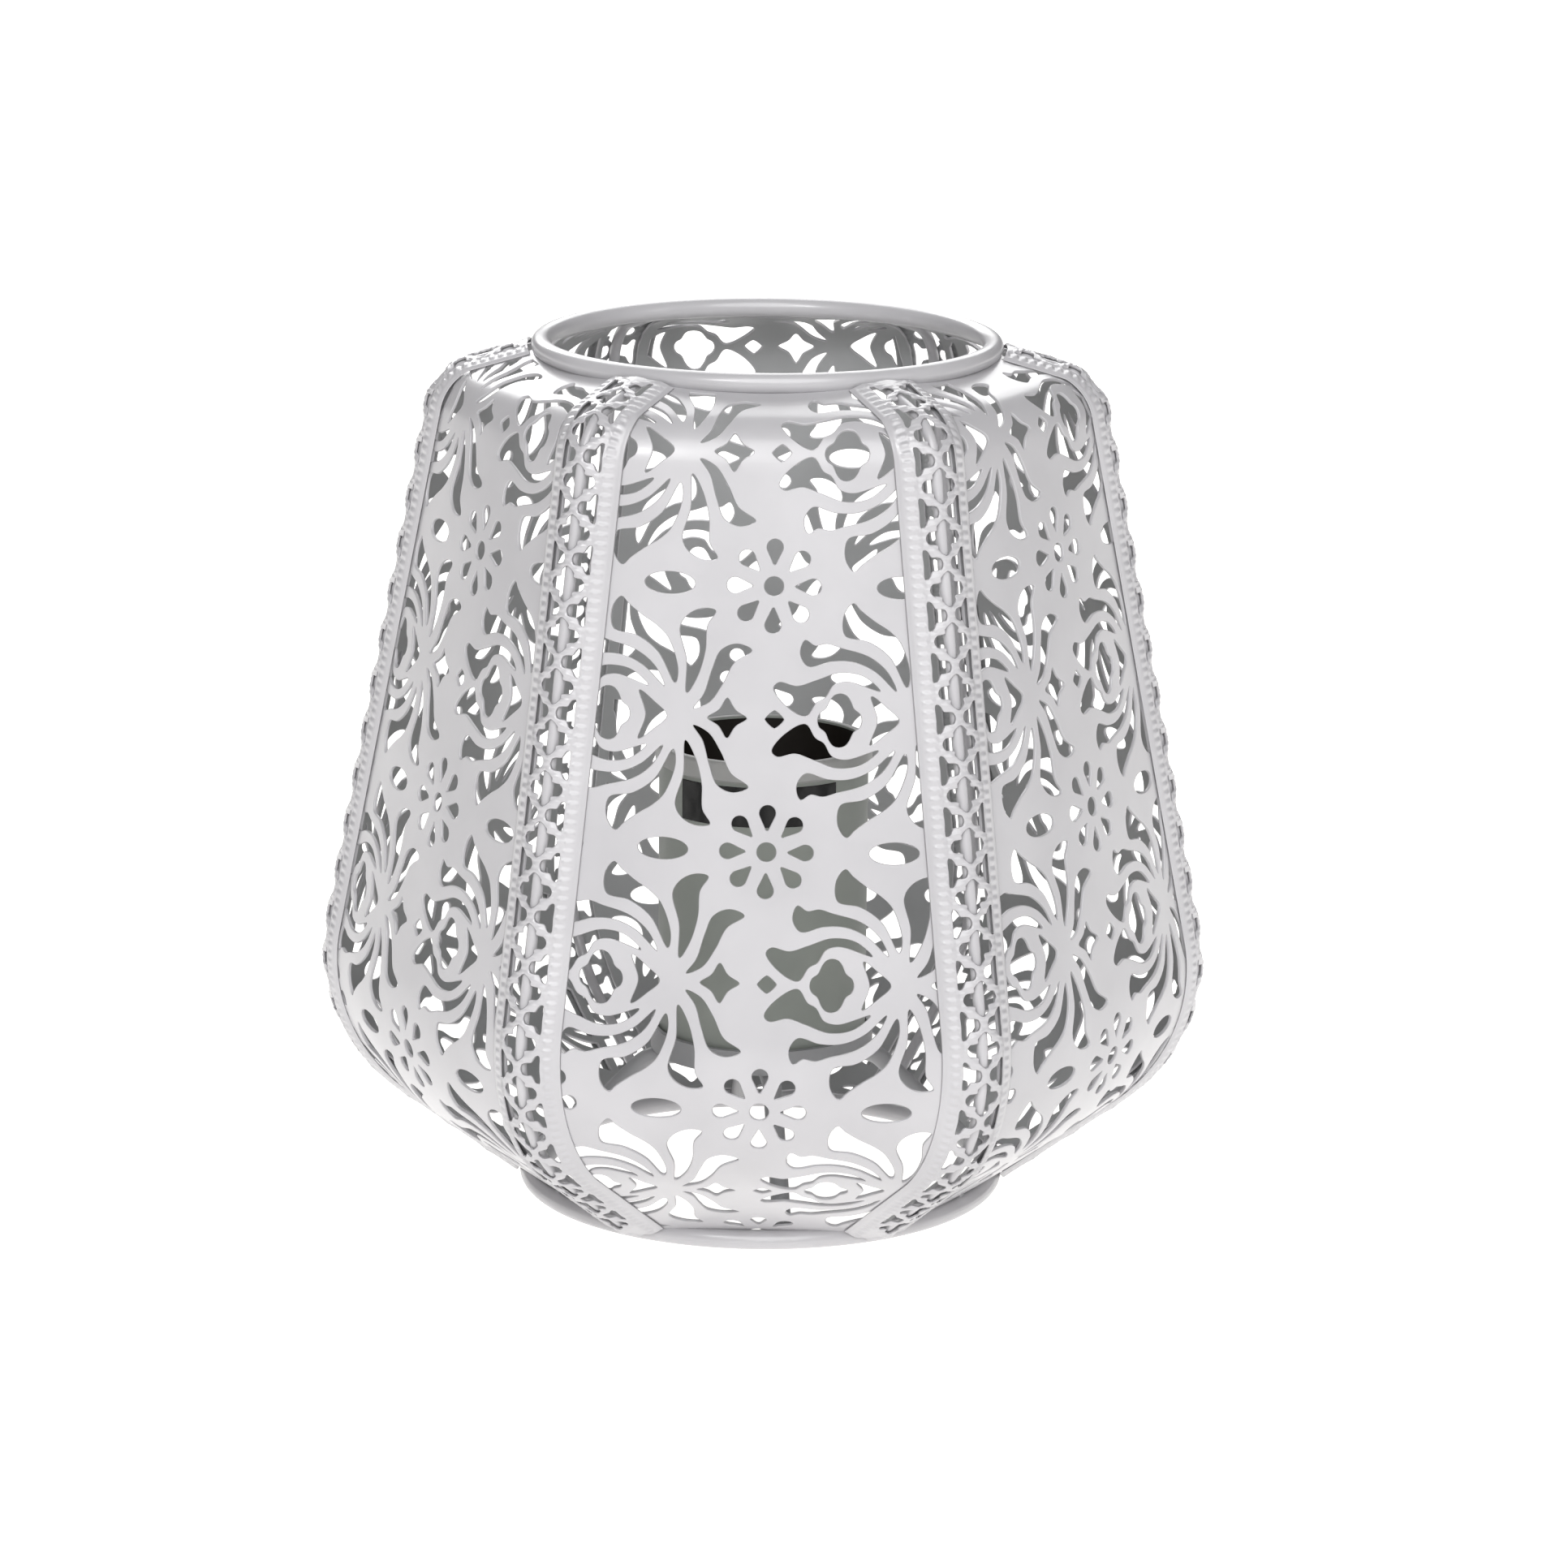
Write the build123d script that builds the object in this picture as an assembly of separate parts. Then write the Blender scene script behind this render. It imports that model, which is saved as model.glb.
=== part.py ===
"""Filigree tealight lantern: six perforated sheet panels on a frame of wires and two rings.

Millimetres, +Z up.  The origin is on the ground, on the lantern's upright axis.
Panel 1 faces -Y, and the others follow it anticlockwise, seen from above.
"""
import math
import os

from build123d import *

# ---- frame ----------------------------------------------------------------
SIDES = 6
BASE_RING_RADIUS = 50.4        # middle of the foot ring's wire
BASE_RING_WIRE = 4.2
BASE_RING_FLAT = 0.3           # depth of the flat on the foot ring's underside
BASE_RING_HEIGHT = BASE_RING_WIRE / 2 - BASE_RING_FLAT
TOP_RING_RADIUS = 47.8
TOP_RING_WIRE = 4.2
TOP_RING_HEIGHT = 183.7        # middle of the top ring's wire
RIB_WIRE = 2.4
WELD_GAP = 0.05                # left between pieces that are welded together

# ---- panels: (radius, height) of the outer face at a panel's middle -------
SHEET = 0.8
BOW = 150.0                    # the panels' bow is centred this far behind the axis
FOOT_INSET = 0.9               # the sheet starts this far inside the foot ring's middle
FOOT_RISE = 1.6                # and this far above it
BELLY = (89.8, 33.4)
SHOULDER_REACH = 15.7          # the shoulder stands this far outside the top ring's middle
SHOULDER_DROP = 6.6            # and this far below it
PANEL_TOP_LAP = 0.5            # how far the sheet reaches up the top ring's wire
BELLY_BEND = 36.0
SHOULDER_BEND = 12.0
PANEL_MARGIN = 3.0             # plain edge beside the rib wires
RING_MARGIN = 1.5              # plain edge beside the rings

# ---- perforation, on the flat sheet ---------------------------------------
PITCH_ACROSS = 46.9            # flower column to flower column
PITCH_UP = 53.6                # flower row to flower row
FLOWER_ROW_HEIGHT = 93.5       # height of the flower row on the straight of the side
PATTERN_SHIFT = 2.6            # the flower column stands this far beside a panel's middle
PATTERN_TURN = 0.9             # degrees, clockwise, seen from outside
PROFILE_STEPS = 400            # the row's place along the side is found to this part of it
HOLE_REACH = 14.0              # no hole reaches further than this from its own middle
FLOWER_EYE = 1.95
PETALS = 8
PETAL_TIP = 4.3                # from the flower's middle
PETAL_END = 9.5
PETAL_ROUND = 1.65
OVAL = (25.9, 5.1, 2.25)       # place across, half width, half height
CLOVER = (14.0, 1.95, 2.5, 3.3, 2.15)   # place, side lobe shift and radius, upright lobe ditto
DIAMOND = (38.2, 4.0, 4.1)     # place, half width, half height
LOZENGE = (0.85, 1.9)          # place, half width

# Leaves above the line through the hubs, as corners (across, up).
LEAVES = {
    "ring_leaf": [(1.6, 7.5), (0.5, 6.4), (2.8, 3.1), (7.1, 0.8), (9.2, 3.6), (10.9, 4.6),
                  (12.6, 7.2), (15.5, 7.9), (22.0, 6.0), (18.6, 8.9), (13.8, 9.6), (9.0, 8.0),
                  (5.2, 6.8)],
    "middle_leaf": [(6.6, 16.1), (5.7, 13.4), (7.4, 10.8), (12.0, 11.9), (16.6, 11.8), (21.0, 9.9),
                    (25.3, 6.0), (23.4, 9.8), (19.5, 12.9), (13.8, 14.6), (11.0, 15.4), (8.6, 15.0)],
    "outer_leaf": [(16.1, 23.6), (14.3, 21.2), (14.7, 17.1), (19.5, 15.9), (23.9, 12.8),
                   (27.5, 6.7), (28.0, 9.4), (25.9, 15.6), (23.6, 18.0), (20.5, 20.0), (17.6, 22.2)],
    "flame": [(35.3, 21.5), (32.6, 21.9), (29.6, 20.4), (28.2, 17.8), (29.7, 11.6), (29.9, 4.8),
              (31.9, 8.0), (33.4, 13.4), (33.7, 18.6)],
    "low_flame": [(42.8, 13.8), (39.8, 15.0), (36.6, 13.6), (34.9, 9.6), (33.4, 4.7), (31.4, 1.7),
                  (34.5, 3.1), (37.1, 6.9), (39.3, 11.2)],
}
CRESCENT = [(20.3, 4.9), (21.7, 0.0), (20.3, -4.9), (23.4, -2.7), (26.0, 0.0), (23.4, 2.7)]

# ---- lace strips over the panel joints ------------------------------------
STRIP_WIDTH = 16.6
STRIP_SHEET = 0.7
STRIP_CROWN = 1.5              # its middle stands this far proud of its edges
STRIP_GAP = 0.1                # from the rib wire
LACE_PITCH = 10.4
LACE_HOLE = 3.6
LACE_SPREAD = 2.7              # the two rows of holes, each side of the middle
LACE_END = 9.0                 # first hole from the strip's end

# ---- cup, saucer and legs -------------------------------------------------
CUP_RADIUS = 22.5
CUP_HEIGHT = 67.0
CUP_WALL = 1.0
CUP_FLOOR = 1.2
CUP_RIM_WIDTH = 0.8            # the rim stands this far out
CUP_RIM_HEIGHT = 4.2
CUP_RIM_ROUND = 0.48
CUP_FOOT_HEIGHT = 31.0         # underside of the cup
CUP_CLEARANCE = 0.4            # round the cup in its saucer
CUP_REST_GAP = 0.1
SAUCER_SHEET = 1.2
SAUCER_LIP = 4.0
LEGS = 4
LEG_WIRE = 4.0
LEG_END_RADIUS = 8.0           # where a leg stops under the saucer
LEG_BEND = 7.0
LEG_FOOT_INSET = 0.5           # the leg's foot stays this far inside the foot ring's middle
LEG_TURN = 7.0                 # degrees the legs stand past the middle of the front panel

FAR = 400.0                    # larger than the lantern, for cutting blocks
UP = (Align.CENTER, Align.CENTER, Align.MIN)
BOW_AXIS = Axis((-BOW, 0, 0), (0, 0, 1))
BOW_ANGLE = 20.0               # enough, each way, to reach past the panel joints


def turned(shape, index, count=SIDES, start=-90.0):
    """One of count equal places round the lantern axis."""
    return Rot(0, 0, start + 360.0 * index / count) * shape


def corner_radius(middle_radius):
    """Radius of the outer face at a panel joint, from its radius at the panel's middle."""
    half = math.pi / SIDES
    return math.sqrt((middle_radius + BOW) ** 2 - (BOW * math.sin(half)) ** 2) - BOW * math.cos(half)


def panel_corners():
    """Corners of the outer face's profile at the middle of a panel."""
    foot = (BASE_RING_RADIUS - FOOT_INSET, BASE_RING_HEIGHT + FOOT_RISE)
    shoulder = (TOP_RING_RADIUS + SHOULDER_REACH, TOP_RING_HEIGHT - SHOULDER_DROP)
    top = (TOP_RING_RADIUS, TOP_RING_HEIGHT - TOP_RING_WIRE / 2 + PANEL_TOP_LAP)
    return [foot, BELLY, shoulder, top]


def joint_corners():
    """Corners of the outer face's profile at a panel joint."""
    return [(corner_radius(radius), height) for radius, height in panel_corners()]


def lengthened(corners, by):
    """The same profile with its two end runs made longer."""
    points = [Vector(*corner) for corner in corners]
    points[0] += (points[0] - points[1]).normalized() * by
    points[-1] += (points[-1] - points[-2]).normalized() * by
    return points


def shifted(points, outward):
    """The profile's corners moved square to its runs, away from the axis when positive."""
    runs = [(b - a).normalized() for a, b in zip(points, points[1:])]
    sides = [Vector(run.Y, -run.X) for run in runs]
    moved = [points[0] + sides[0] * outward]
    for corner, before, after in zip(points[1:-1], sides, sides[1:]):
        bisector = (before + after).normalized()
        moved.append(corner + bisector * (outward / bisector.dot(before)))
    moved.append(points[-1] + sides[-1] * outward)
    return moved


def bent_line(points, outward=0.0):
    """Upright profile line through the corners, bent at the belly and the shoulder."""
    line = [(p.X, 0, p.Y) for p in shifted(points, outward)]
    return FilletPolyline(*line, radius=[BELLY_BEND + outward, SHOULDER_BEND + outward])


def ring(radius, wire, height):
    return Pos(0, 0, height) * Torus(radius, wire / 2)


def ground_block():
    """Everything below the ground."""
    return Pos(0, 0, -FAR / 2) * Box(FAR, FAR, FAR)


def base_ring():
    return ring(BASE_RING_RADIUS, BASE_RING_WIRE, BASE_RING_HEIGHT) - ground_block()


def top_ring():
    return ring(TOP_RING_RADIUS, TOP_RING_WIRE, TOP_RING_HEIGHT)


def base_ring_cutter():
    return ring(BASE_RING_RADIUS, BASE_RING_WIRE + 2 * WELD_GAP, BASE_RING_HEIGHT)


def ring_cutters():
    """What a sheet or wire loses where it is welded to the two rings."""
    top = ring(TOP_RING_RADIUS, TOP_RING_WIRE + 2 * WELD_GAP, TOP_RING_HEIGHT)
    inside_base = Cylinder(BASE_RING_RADIUS, BELLY[1])
    inside_top = Pos(0, 0, TOP_RING_HEIGHT) * Cylinder(TOP_RING_RADIUS, 2 * SHOULDER_BEND)
    return [base_ring_cutter(), top, inside_base, inside_top, ground_block()]


# ---- perforation ------------------------------------------------------------
def mirrored(corners):
    return [(x, -y) for x, y in corners]


def petal(angle):
    """Teardrop pointing at the flower's middle."""
    centre = PETAL_END - PETAL_ROUND
    tilt = math.acos(PETAL_ROUND / (centre - PETAL_TIP))
    turn = [tilt + (2 * math.pi - 2 * tilt) * step / 5 for step in range(6)]
    corners = [(PETAL_TIP, 0)] + [(centre - PETAL_ROUND * math.cos(a), PETAL_ROUND * math.sin(a))
                                  for a in turn]
    c, s = math.cos(angle), math.sin(angle)
    return [(x * c - y * s, x * s + y * c) for x, y in corners]


def round_hole(x, y, across, up, steps=12):
    turns = [2 * math.pi * step / steps for step in range(steps)]
    return [(x + across * math.cos(a), y + up * math.sin(a)) for a in turns]


def clover():
    """Four lobes round one middle, the upright pair longer."""
    x, side_shift, side_radius, up_shift, up_radius = CLOVER
    corners = []
    for quarter in range(4):
        upright = quarter % 2 == 1
        shift, radius = (up_shift, up_radius) if upright else (side_shift, side_radius)
        heading = quarter * math.pi / 2
        for step in (-1.5, -0.5, 0.5, 1.5):
            a = heading + step * math.radians(46)
            corners.append((x + shift * math.cos(heading) + radius * math.cos(a),
                            shift * math.sin(heading) + radius * math.sin(a)))
    return corners


def diamond():
    """Four points joined by hollow sides."""
    x, half_width, half_height = DIAMOND
    tips = [(half_width, 0), (0, half_height), (-half_width, 0), (0, -half_height)]
    corners = []
    for (ax, ay), (bx, by) in zip(tips, tips[1:] + tips[:1]):
        corners.append((x + ax, ay))
        corners.append((x + 0.41 * (ax + bx), 0.41 * (ay + by)))
    return corners


def flower_row():
    """Holes of one pitch of a flower row, about the flower's middle."""
    petals = [petal(2 * math.pi * n / PETALS) for n in range(PETALS)]
    return [round_hole(0, 0, FLOWER_EYE, FLOWER_EYE), round_hole(OVAL[0], 0, *OVAL[1:]), *petals]


def hub_row():
    """Holes of one pitch of a hub row, about the line through the hubs."""
    lozenge = round_hole(LOZENGE[0], 0, LOZENGE[1], LOZENGE[1], steps=8)
    leaves = [leaf for corners in LEAVES.values() for leaf in (corners, mirrored(corners))]
    return [lozenge, clover(), CRESCENT, diamond(), *leaves]


def on_sheet(x, y):
    """Place on the flat sheet of a point of the pattern."""
    turn = math.radians(PATTERN_TURN)
    across = x * math.cos(turn) + y * math.sin(turn)
    up = y * math.cos(turn) - x * math.sin(turn)
    return across + PATTERN_SHIFT, up


def sheet_holes(lowest, highest):
    """Holes of the flat sheet between two levels, as (across, up, outline about that middle)."""
    rows = []
    for row in range(-2, 3):
        rows.append((row * PITCH_UP, flower_row()))
        rows.append(((row + 0.5) * PITCH_UP, hub_row()))
    holes = []
    for up, outlines in rows:
        for column in range(-2, 3):
            for outline in outlines:
                placed = [on_sheet(column * PITCH_ACROSS + px, up + py) for px, py in outline]
                x = sum(px for px, _ in placed) / len(placed)
                y = sum(py for _, py in placed) / len(placed)
                own = [(px - x, py - y) for px, py in placed]
                if lowest < y < highest:
                    holes.append((x, y, own))
    return holes


# ---- panels -----------------------------------------------------------------
def panel_wedge(inset):
    """The sector between two panel joints, inset from both."""
    apex = inset / math.sin(math.pi / SIDES)
    reach = FAR * math.tan(math.pi / SIDES)
    outline = Polyline((apex, 0), (apex + FAR, -reach), (apex + FAR, reach), close=True)
    return extrude(make_face(outline), FAR)


def panel_sheet():
    """The bent and bowed sheet between its two rings and its two rib wires."""
    points = lengthened(panel_corners(), SHEET)
    outer = bent_line(points)
    inner = bent_line(points, -SHEET)
    ends = [Line(outer @ 0, inner @ 0), Line(outer @ 1, inner @ 1)]
    section = make_face(Curve() + [outer, inner, *ends])
    sheet = revolve(section.rotate(BOW_AXIS, -BOW_ANGLE), BOW_AXIS, 2 * BOW_ANGLE)
    for cutter in ring_cutters():
        sheet -= cutter
    return sheet & panel_wedge(RIB_WIRE / 2 + WELD_GAP)


def perforated_field():
    """Where holes may be cut: clear of the rib wires and of both rings."""
    base = Cylinder(BASE_RING_RADIUS + BASE_RING_WIRE / 2 + RING_MARGIN, BELLY[1])
    top = Cylinder(TOP_RING_RADIUS + TOP_RING_WIRE / 2 + RING_MARGIN, 2 * SHOULDER_BEND)
    wedge = panel_wedge(RIB_WIRE / 2 + WELD_GAP + PANEL_MARGIN)
    return wedge - base - Pos(0, 0, TOP_RING_HEIGHT) * top


def panel():
    """One panel with its holes, facing +X."""
    line = bent_line([Vector(*corner) for corner in panel_corners()])
    steps = [n / PROFILE_STEPS for n in range(PROFILE_STEPS + 1)]
    zero = min(steps, key=lambda n: abs((line @ n).Z - FLOWER_ROW_HEIGHT)) * line.length
    field = perforated_field()
    tools = []
    for across, up, outline in sheet_holes(-zero, line.length - zero):
        along = (zero + up) / line.length
        point, tangent = line @ along, line % along
        half_width = corner_radius(point.X) * math.sin(math.pi / SIDES)
        if abs(across) > half_width:
            continue
        plane = Plane(origin=point, x_dir=(0, 1, 0), z_dir=(tangent.Z, 0, -tangent.X))
        hole = extrude(plane * make_face(Polyline(*outline, close=True)), 4 * SHEET, both=True)
        hole = hole.rotate(BOW_AXIS, math.degrees(across / (point.X + BOW)))
        inside = abs(across) < half_width - HOLE_REACH
        if not inside or not HOLE_REACH < zero + up < line.length - HOLE_REACH:
            hole = hole & field
        if hole is not None and hole.solids():
            tools.append(hole)
    return panel_sheet() - tools


# ---- ribs and lace strips -----------------------------------------------------
def trimmed(piece):
    for cutter in ring_cutters():
        piece -= cutter
    return piece


def rib_wire():
    """Round wire that runs up a panel joint from ring to ring."""
    path = bent_line(lengthened(joint_corners(), RIB_WIRE), -SHEET / 2)
    start = Plane(origin=path @ 0, x_dir=(0, 1, 0), z_dir=path % 0)
    return trimmed(sweep(start * Circle(RIB_WIRE / 2), path))


def strip_section(start):
    """Crowned section of a lace strip, square to its path; its inner middle is on the path."""
    half = STRIP_WIDTH / 2
    edge = STRIP_CROWN - STRIP_SHEET
    inner = ThreePointArc((-half, STRIP_CROWN), (0, 0), (half, STRIP_CROWN))
    outer = ThreePointArc((-half, edge), (0, -STRIP_SHEET), (half, edge))
    sides = [Line(inner @ 0, outer @ 0), Line(inner @ 1, outer @ 1)]
    return start * make_face(Curve() + [inner, outer, *sides])


def lace_strip():
    """Crowned strip over a panel joint, with two rows of holes."""
    stand_off = RIB_WIRE / 2 - SHEET / 2 + STRIP_GAP
    path = bent_line(lengthened(joint_corners(), RIB_WIRE), stand_off)
    start = Plane(origin=path @ 0, x_dir=(0, 1, 0), z_dir=path % 0)
    strip = trimmed(sweep(strip_section(start), path))
    count = int((path.length - 2 * LACE_END) / LACE_PITCH)
    holes = []
    for n in range(count + 1):
        along = (LACE_END + n * LACE_PITCH) / path.length
        tangent = path % along
        plane = Plane(origin=path @ along, x_dir=(0, 1, 0), z_dir=(tangent.Z, 0, -tangent.X))
        for side in (-1, 1):
            holes.append(plane * Pos(side * LACE_SPREAD, 0) * Cylinder(LACE_HOLE / 2, 4 * STRIP_CROWN))
    return strip - holes


# ---- cup, saucer and legs -------------------------------------------------------
def candle_cup():
    """Straight cup with a rim band; its floor rests in the saucer."""
    body = Cylinder(CUP_RADIUS, CUP_HEIGHT, align=UP)
    rim = Cylinder(CUP_RADIUS + CUP_RIM_WIDTH, CUP_RIM_HEIGHT, align=UP)
    cup = body + Pos(0, 0, CUP_HEIGHT - CUP_RIM_HEIGHT) * rim
    rim_edges = cup.edges().filter_by(GeomType.CIRCLE).filter_by(
        lambda edge: edge.radius > CUP_RADIUS + CUP_RIM_WIDTH / 2)
    cup = fillet(rim_edges, CUP_RIM_ROUND)
    cup -= Pos(0, 0, CUP_FLOOR) * Cylinder(CUP_RADIUS - CUP_WALL, CUP_HEIGHT, align=UP)
    return Pos(0, 0, CUP_FOOT_HEIGHT) * cup


def saucer():
    """Shallow dish on the legs that keeps the cup in the middle."""
    inside = CUP_RADIUS + CUP_CLEARANCE
    dish = Cylinder(inside + SAUCER_SHEET, SAUCER_SHEET + SAUCER_LIP, align=UP)
    dish -= Pos(0, 0, SAUCER_SHEET) * Cylinder(inside, SAUCER_LIP, align=UP)
    return Pos(0, 0, CUP_FOOT_HEIGHT - CUP_REST_GAP - SAUCER_SHEET) * dish


def cup_leg():
    """Wire that rises from the foot ring and bends flat under the saucer."""
    level = CUP_FOOT_HEIGHT - CUP_REST_GAP - SAUCER_SHEET - WELD_GAP - LEG_WIRE / 2
    foot = (BASE_RING_RADIUS, 0, BASE_RING_HEIGHT)
    knee = (BASE_RING_RADIUS - (level - BASE_RING_HEIGHT), 0, level)
    path = FilletPolyline(foot, knee, (LEG_END_RADIUS, 0, level), radius=LEG_BEND)
    start = Plane(origin=path @ 0, x_dir=(0, 1, 0), z_dir=path % 0)
    leg = sweep(start * Circle(LEG_WIRE / 2), path) - base_ring_cutter()
    return leg & Cylinder(BASE_RING_RADIUS - LEG_FOOT_INSET, FAR)


def main():
    os.makedirs("parts", exist_ok=True)
    export_step(base_ring(), "parts/base_ring.step")
    export_step(top_ring(), "parts/top_ring.step")
    sheet, rib, strip = panel(), rib_wire(), lace_strip()
    for n in range(SIDES):
        export_step(turned(sheet, n), f"parts/panel_{n + 1}.step")
        export_step(turned(rib, n + 0.5), f"parts/rib_wire_{n + 1}.step")
        export_step(turned(strip, n + 0.5), f"parts/lace_strip_{n + 1}.step")
    leg = cup_leg()
    for n in range(LEGS):
        export_step(turned(leg, n, LEGS, LEG_TURN - 90), f"parts/cup_leg_{n + 1}.step")
    export_step(saucer(), "parts/saucer.step")
    export_step(candle_cup(), "parts/candle_cup.step")


main()
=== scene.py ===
"""Looks of the filigree tealight lantern, in metres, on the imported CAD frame."""
import math

import bmesh
import bpy
import numpy as np
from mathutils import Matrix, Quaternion, Vector
from mathutils.geometry import delaunay_2d_cdt


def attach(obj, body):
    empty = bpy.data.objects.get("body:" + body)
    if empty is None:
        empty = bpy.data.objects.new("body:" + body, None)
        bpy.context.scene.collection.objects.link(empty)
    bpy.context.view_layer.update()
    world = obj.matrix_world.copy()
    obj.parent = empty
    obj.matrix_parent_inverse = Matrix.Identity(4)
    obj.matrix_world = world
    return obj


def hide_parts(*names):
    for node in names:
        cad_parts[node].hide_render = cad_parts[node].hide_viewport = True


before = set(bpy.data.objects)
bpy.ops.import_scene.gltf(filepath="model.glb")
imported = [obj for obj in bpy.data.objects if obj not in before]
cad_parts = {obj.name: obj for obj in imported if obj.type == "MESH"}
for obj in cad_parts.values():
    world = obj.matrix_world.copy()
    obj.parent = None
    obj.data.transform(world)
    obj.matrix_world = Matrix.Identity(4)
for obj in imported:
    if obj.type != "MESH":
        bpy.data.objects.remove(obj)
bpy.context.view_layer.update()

MM = 0.001

# ---- sizes in millimetres, as on the CAD frame ------------------------------
SIDES = 6
SHEET = 0.8
BOW = 150.0
BASE_RING_RADIUS = 50.4
TOP_RING_RADIUS = 47.8
RING_WIRE = 2.1                # radius of both rings' wire
TOP_RING_HEIGHT = 183.7
BASE_RING_HEIGHT = 1.8
PANEL_FOOT = (49.5, 3.4)
BELLY = (89.8, 33.4)
SHOULDER = (63.5, 177.1)
PANEL_TOP = (TOP_RING_RADIUS, TOP_RING_HEIGHT - RING_WIRE + 0.5)
BELLY_BEND = 36.0
SHOULDER_BEND = 12.0
RIB_WIRE = 1.2                 # radius
PANEL_SIDE = 4.7               # the panels stop this far from a joint, under the lace
RING_MARGIN = 1.6              # plain edge beside the rings
PANEL_MARGIN = 2.6             # plain edge of the panels under the lace
FLOWER_ROW_HEIGHT = 93.5
PITCH_ACROSS = 46.9
PITCH_UP = 53.6
STRIP_HALF = 8.2
STRIP_SHEET = 0.5
PATTERN_SHIFT = 2.6            # of the flower column from a panel's middle
PATTERN_TURN = 0.9             # degrees, clockwise from outside
LACE_PITCH = 10.4
PAINT_EDGE = 0.22              # rounding of the painted edges
SHARP_ANGLE = 40               # degrees; edges bent more than this stay crisp

# ---- the sheet's holes: corners (across, up) of their outlines --------------
LEAVES = {
    "ring_leaf": [(1.6, 7.5), (0.5, 6.4), (2.8, 3.1), (7.1, 0.8), (9.2, 3.6), (10.9, 4.6),
                  (12.6, 7.2), (15.5, 7.9), (22.0, 6.0), (18.6, 8.9), (13.8, 9.6), (9.0, 8.0),
                  (5.2, 6.8)],
    "middle_leaf": [(6.6, 16.1), (5.7, 13.4), (7.4, 10.8), (12.0, 11.9), (16.6, 11.8), (21.0, 9.9),
                    (25.3, 6.0), (23.4, 9.8), (19.5, 12.9), (13.8, 14.6), (11.0, 15.4), (8.6, 15.0)],
    "outer_leaf": [(16.1, 23.6), (14.3, 21.2), (14.7, 17.1), (19.5, 15.9), (23.9, 12.8),
                   (27.5, 6.7), (28.0, 9.4), (25.9, 15.6), (23.6, 18.0), (20.5, 20.0), (17.6, 22.2)],
    "flame": [(35.3, 21.5), (32.6, 21.9), (29.6, 20.4), (28.2, 17.8), (29.7, 11.6), (29.9, 4.8),
              (31.9, 8.0), (33.4, 13.4), (33.7, 18.6)],
    "low_flame": [(42.8, 13.8), (39.8, 15.0), (36.6, 13.6), (34.9, 9.6), (33.4, 4.7), (31.4, 1.7),
                  (34.5, 3.1), (37.1, 6.9), (39.3, 11.2)],
}
CRESCENT = [(20.3, 4.9), (21.7, 0.0), (20.3, -4.9), (23.4, -2.7), (26.0, 0.0), (23.4, 2.7)]


# ---- profile of the lantern's side -------------------------------------------
class Profile:
    """Line through (radius, height) corners with rounded bends, measured by its length."""

    def __init__(self, corners, bends):
        self.spans = []
        points = [np.array(c, float) for c in corners]
        start = points[0]
        for before, corner, after, bend in zip(points, points[1:], points[2:], bends):
            a = (corner - before) / np.linalg.norm(corner - before)
            b = (after - corner) / np.linalg.norm(after - corner)
            turn = math.acos(a @ b)
            setback = bend * math.tan(turn / 2)
            arc_start = corner - a * setback
            self.spans.append(("line", start, a, np.linalg.norm(arc_start - start)))
            left = np.array([-a[1], a[0]])
            self.spans.append(("arc", arc_start, (a, left, bend), bend * turn))
            start = corner + b * setback
        last = points[-1] - start
        self.spans.append(("line", start, last / np.linalg.norm(last), np.linalg.norm(last)))
        self.length = sum(span[3] for span in self.spans)

    def at(self, length):
        """Point, direction and outward normal at a length from the foot."""
        for n, (kind, start, shape, span) in enumerate(self.spans):
            if length <= span or n == len(self.spans) - 1:
                break
            length -= span
        if kind == "line":
            direction = shape
            point = start + direction * length
        else:
            a, left, bend = shape
            angle = length / bend
            direction = a * math.cos(angle) + left * math.sin(angle)
            point = start + bend * (a * math.sin(angle) + left * (1 - math.cos(angle)))
        return point, direction, np.array([direction[1], -direction[0]])

    def length_at_height(self, height):
        lo, hi = 0.0, self.length
        for _ in range(40):
            mid = (lo + hi) / 2
            lo, hi = (mid, hi) if self.at(mid)[0][1] < height else (lo, mid)
        return lo


MIDDLE = Profile([PANEL_FOOT, BELLY, SHOULDER, PANEL_TOP], [BELLY_BEND, SHOULDER_BEND])
ROW_ZERO = MIDDLE.length_at_height(FLOWER_ROW_HEIGHT)


def corner_radius(middle_radius):
    """Radius at a panel joint, from the radius at the panel's middle."""
    half = math.pi / SIDES
    return math.sqrt((middle_radius + BOW) ** 2 - (BOW * math.sin(half)) ** 2) - BOW * math.cos(half)


def half_width(length):
    """From a panel's middle to its joint, measured along the bowed sheet."""
    bow_radius = MIDDLE.at(length)[0][0] + BOW
    return bow_radius * math.asin(corner_radius(bow_radius - BOW) * math.sin(math.pi / SIDES) / bow_radius)


JOINT = Profile([(corner_radius(r), z) for r, z in (PANEL_FOOT, BELLY, SHOULDER, PANEL_TOP)],
                [BELLY_BEND, SHOULDER_BEND])


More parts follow.
